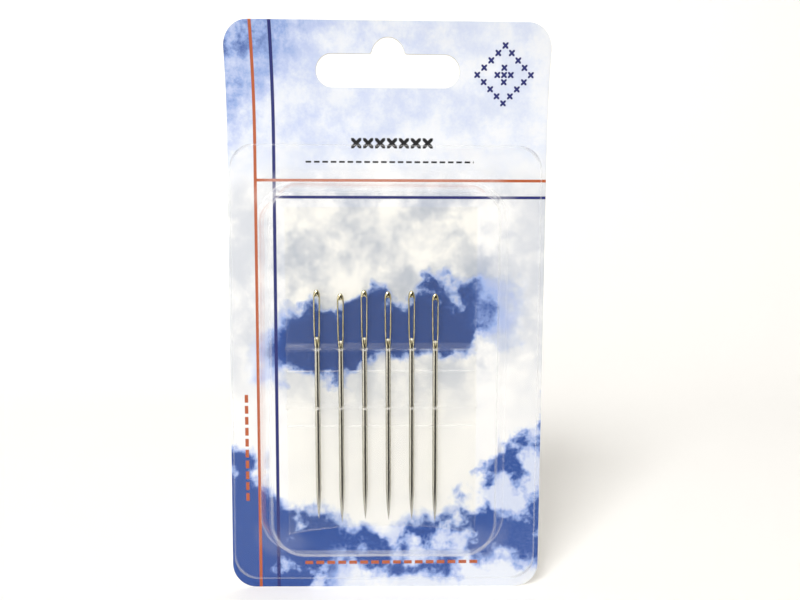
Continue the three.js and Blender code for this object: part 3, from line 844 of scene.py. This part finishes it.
def filmSurface(data):
    # a flat sheet with two folded ridges, carried along x; the bottom edge arches; a round hole for each
    # needle is left out of both walls of each ridge, and its rim is moved onto the hole's circle
    middle, high, base = data["middle"], data["pleatHeight"], data["pleatBase"]
    corners = [(middle, data["bottom"])]
    for z in data["pleats"]:
        corners += [(middle, z - base / 2), (middle - high, z), (middle, z + base / 2)]
    corners.append((middle, data["top"]))
    path = filletPath(corners, [data["fold"]] * (len(corners) - 2), 6)
    # rows lie closer on ridges and creases, columns beside the holes
    lengths = np.linspace(0, pathLength(path), 4000)
    y, z = spread(path, lengths).T
    nearCrease = np.abs(z[:, None] - np.array(data["creases"])).min(1) < data["creaseReach"]
    weight = np.where(y < middle - 0.02, data["ridgeWeight"], np.where(nearCrease, data["creaseWeight"], 1.0))
    profile = spread(path, bunched(lengths, weight, data["rows"]))
    places = np.linspace(data["left"], data["right"], 3000)
    nearHole = np.abs(places[:, None] - needlePlaces).min(1) < data["holeReach"]
    across = bunched(places, np.where(nearHole, data["holeWeight"], 1.0), data["columns"])
    x = np.broadcast_to(across, (len(profile), len(across))).copy()
    y = np.repeat(profile[:, :1], len(across), 1)
    z = np.repeat(profile[:, 1:], len(across), 1)
    # the part below the lower ridge shrinks towards the arched edge
    share = (across - data["left"]) / (data["right"] - data["left"])
    arch = 4 * data["arch"] * share * (1 - share)
    archTop = data["pleats"][0] - data["archBelow"]
    z = z + arch * np.clip((archTop - z) / (archTop - data["bottom"]), 0, 1)
    # holes: points inside a hole's circle move out to it, along the slope of the ridge's wall
    outward = np.gradient(profile[:, 0])
    slope = np.gradient(profile[:, 1]) / np.where(np.abs(outward) < 1e-6, 1e6, outward)
    nearest = needlePlaces[np.abs(across[:, None] - needlePlaces).argmin(1)]
    dx, dy = x - nearest, y - row["axis"]
    reach = np.hypot(dx, dy)
    inside = reach < data["hole"]
    grow = np.where(inside, data["hole"] / np.maximum(reach, 1e-4), 1)
    z = z + np.where(inside, dy * (grow - 1) * slope[:, None], 0)
    x, y = nearest + dx * grow, row["axis"] + dy * grow
    quads = gridQuads(np.arange(x.size).reshape(x.shape))
    quads = quads[~inside.ravel()[quads].all(1)]
    # ridges dip in a small lip before each needle, creases stand up, and the sheet is a little wavy
    height = np.clip((middle - y) / high, 0, 1)
    z = z - data["lip"] * height ** 2 * bell(x, nearest, data["lipWidth"])
    crease = sum(bell(z, place, data["creaseWidth"]) for place in data["creases"])
    flat = 1 - smoothStep(height, *data["flatRange"])
    wave = 1 + np.sin(0.31 * x + 0.8) * np.sin(0.17 * z + 0.4)
    y = y - flat * (data["creaseHeight"] * crease + data["wave"] * wave)
    # painted highlights on the folds: white is added faintly along the ridges, more on the creases and on the
    # lips, where they catch the light
    aside = np.abs(x - nearest) / (data["lipWhiteWidth"] * data["lipWidth"])
    lipMiddle, lipEnds = data["lipWhite"]
    lip = smoothStep(height, *data["lipRange"]) * np.exp(-aside ** 2)
    lip = lip * (lipMiddle + lipEnds * np.minimum(aside, 1) ** 2)
    faint = 0.5 + 0.5 * np.sin(0.6 * x + 1.3) * np.sin(0.23 * x)
    ridge = data["wallWhite"] * smoothStep(height, *data["wallRange"])
    ridge = ridge + data["topWhite"] * smoothStep(height, *data["topRange"])
    fold = np.maximum(np.maximum(ridge, data["creaseWhite"] * flat * crease * faint), lip)
    return leanOver(np.stack([x, y, z], -1)), quads, fold


# folds weighs the film's painted highlights along its ridges, creases and lips
filmFinish = {"edge": 0.9, "facing": 0.008, "rough": 0.09, "bump": 0.2, "blot": 5.0,
              "tint": (0.992, 0.987, 0.968, 1), "haze": 0.008, "scuff": 0.03, "folds": 0.7}
filmPoints, filmQuads, filmFolds = filmSurface(film)
filmMesh = skinMesh("pleatedFilm", filmPoints, filmQuads, attributes={"fold": filmFolds}, closed=False)
carrier = addPiece("pleatedFilm", filmMesh, "carrier", "needle_carrier", "clear_film",
                   clearPlastic("clearFilm", filmFinish))
carrier.visible_shadow = carrier.visible_diffuse = False
wall = carrier.modifiers.new("sheet", "SOLIDIFY")
wall.thickness, wall.offset = film["sheet"] * mm, 0.0
print("film:", len(filmQuads), "faces")


needle = {
    "length": 53.8, "radius": 0.64, "point": 8.7, "pointPower": 0.847, "headHalf": 0.83, "headDeep": 0.55,
    "flare": 3.2, "eyeFoot": 42.9, "eyeTop": 52.3, "eyeHalf": 0.45, "eyeFootHalf": 0.31,
    "gutter": 3.0, "gutterPower": 1.3, "bridge": 0.95, "crown": 1.7, "around": 28,
    "giltFrom": -5.0, "giltFull": 0.6,  # from the eye's foot
    # painted glint at the eye's foot: half width, height and drop of the spot
    "glintHalf": 0.5, "glintTall": 0.32, "glintDrop": 0.2,  # bright spot where the gutter meets the eye
}


def needleSurface(data):
    # every section is two ellipses at +-c with half axes a and b: one circle on the shaft (c = 0),
    # overlapping in the gutter and the crown, touching at the ends of the eye and apart beside it.
    # Each ellipse is one sheet of points, and the sheets share their waist points where they overlap and
    # close on themselves beside the eye
    foot, top, length = data["eyeFoot"], data["eyeTop"], data["length"]
    eyeHalf, eyeFootHalf, gutter = data["eyeHalf"], data["eyeFootHalf"], data["gutter"]
    quarter = np.linspace(0, np.pi / 2, 9)
    # rows of points, closer at the point, the eye's ends and the crown
    z = np.concatenate([
        [0], data["point"] * np.linspace(0.06, 1, 26) ** 2,
        np.linspace(data["point"], foot - gutter, 24)[1:],
        foot - gutter * np.linspace(1, 0, 26)[1:] ** 1.6,
        foot + eyeFootHalf * (1 - np.cos(quarter))[1:],
        np.linspace(foot + eyeFootHalf, top - eyeHalf, 30)[1:],
        top - eyeHalf * (1 - np.sin(quarter))[1:],
        top + (length - top) * np.sin(np.linspace(0, np.pi / 2, 22))[1:], [length]])
    share = smoothStep(z, foot - data["flare"], foot + data["flare"])
    point = np.clip(z / data["point"], 0, 1) ** data["pointPower"]
    up = np.clip((z - (length - data["crown"])) / data["crown"], 0, 1)
    trim = np.sin(point * np.pi / 2) * np.sqrt(1 - up ** 2)
    wide = (data["radius"] + (data["headHalf"] - data["radius"]) * share) * trim
    deep = (data["radius"] + (data["headDeep"] - data["radius"]) * share) * trim
    # half gap between the strands: minus the half width on the shaft, 0 at both ends of the eye
    low = np.clip((z - (foot - gutter)) / gutter, 0, 1)
    high = np.clip((z - top) / data["bridge"], 0, 1)
    edge, edgeTop = np.clip((z - foot) / eyeFootHalf, 0, 1), np.clip((top - z) / eyeHalf, 0, 1)
    eye = np.interp(z, [foot + eyeFootHalf, top - eyeHalf], [eyeFootHalf, eyeHalf])
    eye = eye * np.sqrt(1 - (1 - edge) ** 2) * np.sqrt(1 - (1 - edgeTop) ** 2)
    gap = np.where(z > top, -wide * smoothStep(high, 0, 1), eye)
    gap = np.where(z < foot, -wide * (1 - low ** data["gutterPower"]), gap)
    pinch = np.isclose(z, foot) | np.isclose(z, top)
    gap = np.where(pinch, 0, gap)
    apart = (z > foot) & (z < top) & ~pinch
    c, a = (wide + gap) / 2, (wide - gap) / 2
    waist = np.where(apart | pinch, np.pi, np.arccos(np.clip(-c / np.maximum(a, 1e-9), -1, 1)))
    angle = waist[:, None] * np.linspace(-1, 1, data["around"] + 1)
    sx = c[:, None] + a[:, None] * np.cos(angle)
    sy = deep[:, None] * np.sin(angle)
    sz = np.broadcast_to(z[:, None], sx.shape)
    sx[~apart[:, None] & ((angle == angle[:, :1]) | (angle == angle[:, -1:]))] = 0
    right, left = np.stack([sx, sy, sz], -1), np.stack([-sx, sy, sz], -1)
    rightIndex = np.arange(sx.size).reshape(sx.shape)
    leftIndex = rightIndex + sx.size
    leftIndex[~apart, 0], leftIndex[~apart, -1] = rightIndex[~apart, 0], rightIndex[~apart, -1]
    rightIndex[apart, -1], leftIndex[apart, -1] = rightIndex[apart, 0], leftIndex[apart, 0]
    for index in (rightIndex, leftIndex):
        index[pinch, 0] = index[pinch, -1] = rightIndex[pinch, 0]
        index[0] = rightIndex[0, 0]
        index[-1] = rightIndex[-1, 0]
    quads = np.concatenate([gridQuads(rightIndex), gridQuads(leftIndex)[:, ::-1]])
    return np.concatenate([right, left]), quads


def needleMarks(points, data):
    # gilt: 1 from the eye upwards, thinning out below it; the second mark is a painted glint, a small bright
    # spot at the eye's foot
    x, up = points[..., 0], points[..., 2] - data["eyeFoot"]
    spot = np.hypot(x / data["glintHalf"], (up + data["glintDrop"]) / data["glintTall"])
    return {"gilt": smoothStep(up, data["giltFrom"], data["giltFull"]), "paintedGlint": np.exp(-spot ** 2)}


metal = {
    "lineStretch": (1, 1, 0.04), "lineNoise": (0.16, 3, 0.6), "blotNoise": (1.6, 4, 0.6),
    "giltBlots": 0.5, "giltEdge": (0.25, 0.8),
    "nickel": [(0.3, (0.52, 0.50, 0.43)), (0.7, (0.66, 0.64, 0.57))],
    "gold": [(0.3, (0.48, 0.43, 0.25)), (0.7, (0.80, 0.75, 0.54))],
    # painted glint: light colour and extra roughness of the spot at the eye's foot
    "paintedGlint": (0.98, 0.95, 0.84, 1), "paintedGlintRough": 0.32, "rough": (0.3, 0.7, 0.07, 0.13),
    "bump": 0.06, "bumpDeep": 0.00002,
}


def needleMetal(data):
    # nickel with a high polish and faint drawing lines, a thin wash of gilding over the eye, and a painted
    # glint, lighter and rougher, at the eye's foot
    material, tree = newMaterial("giltNickel")
    place = millimetres(tree)
    lines = noise(tree, vector(tree, "MULTIPLY", place, data["lineStretch"]), *data["lineNoise"])
    blots = noise(tree, place, *data["blotNoise"])
    uneven = times(tree, minus(tree, blots, 0.5), data["giltBlots"])
    gilt = ease(tree, plus(tree, attribute(tree, "gilt"), uneven), *data["giltEdge"])
    wash = tint(tree, gilt, ramp(tree, lines, data["nickel"]), ramp(tree, blots, data["gold"]))
    # painted glint: the base colour lightens and the roughness rises in the spot at the eye's foot
    bright = attribute(tree, "paintedGlint")
    rough = calc(tree, "MULTIPLY_ADD", bright, data["paintedGlintRough"], ease(tree, blots, *data["rough"]))
    bump = put(tree, "Bump", {"Strength": data["bump"], "Distance": data["bumpDeep"], "Height": lines})
    surface(tree, put(tree, "BsdfPrincipled", {
        "Base Color": tint(tree, bright, wash, data["paintedGlint"]), "Metallic": 1.0, "Roughness": rough,
        "Normal": bump.outputs[0]}))
    return material


needlePoints, needleQuads = needleSurface(needle)
marks = needleMarks(needlePoints, needle)
giltNickel = needleMetal(metal)
pastKey = bpy.data.collections.new("pastKey")
for number, (x, drop) in enumerate(zip(needlePlaces, row["drops"]), 1):
    placed = leanOver(needlePoints + np.array([x, row["axis"], row["tip"] - drop]))
    mesh = skinMesh(f"needle{number}", placed, needleQuads, attributes=marks)
    body = f"needle_{number}"
    pastKey.objects.link(addPiece(f"giltEyeNeedle{number}", mesh, body, body, "needle_metal", giltNickel))
# the key lamp shines past the needles, so that their shadow on the card stays faint
for member in pastKey.collection_objects:
    member.light_linking.link_state = "EXCLUDE"
bpy.data.objects["key"].light_linking.blocker_collection = pastKey
print("needles:", len(row["drops"]), "of", len(needleQuads), "faces")
